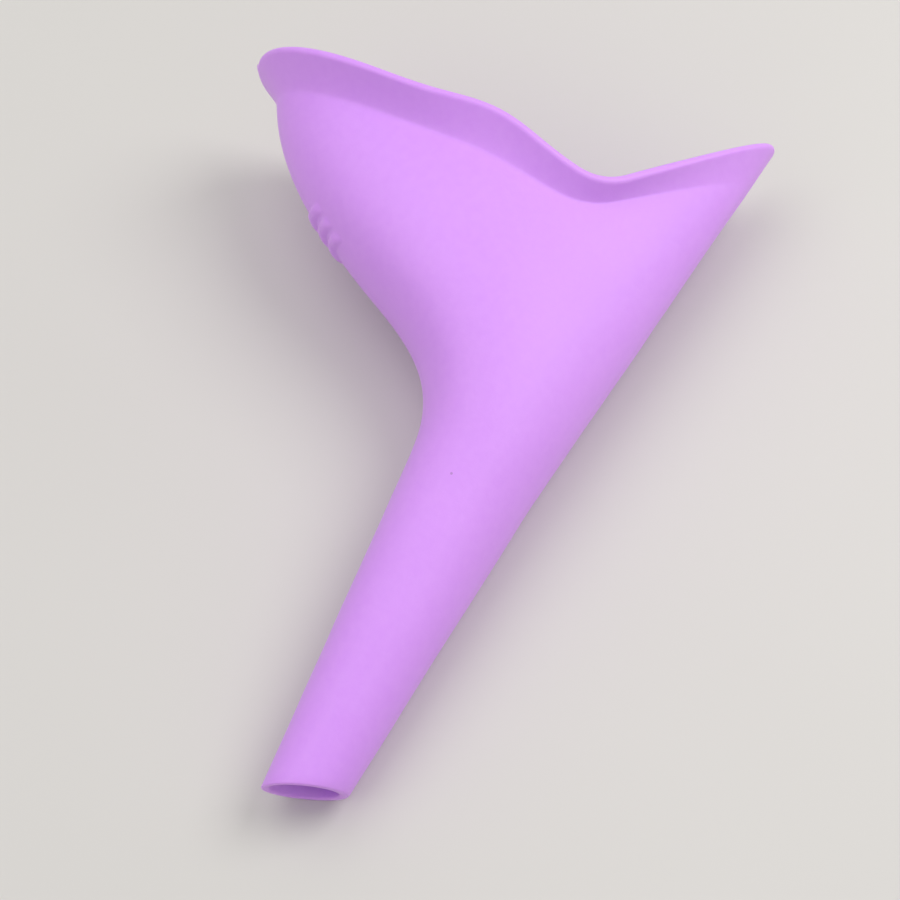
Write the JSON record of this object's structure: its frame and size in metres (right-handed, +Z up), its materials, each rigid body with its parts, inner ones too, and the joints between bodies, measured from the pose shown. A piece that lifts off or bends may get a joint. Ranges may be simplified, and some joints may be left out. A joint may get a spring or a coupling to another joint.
{
  "type": "stand-up urination funnel",
  "caption": "Soft silicone urination funnel: a teardrop cup with an out-turned sealing lip that drains through a straight tapered spout.",
  "frame": {"origin": "centre of the footprint, on the table under the funnel as it lies on its side", "axes": "+X along the spout from the outlet to the mouth, +Y towards the front of the mouth, +Z up from the table"},
  "size_m": [0.2024, 0.127, 0.0579],
  "materials": {
    "silicone": "satin"
  },
  "bodies": {
    "root": {"outlet_ring": "silicone", "spout_tube": "silicone", "cup_shell": "silicone", "grip_ribs": "silicone", "sealing_lip": "silicone"}
  },
  "joints": []
}
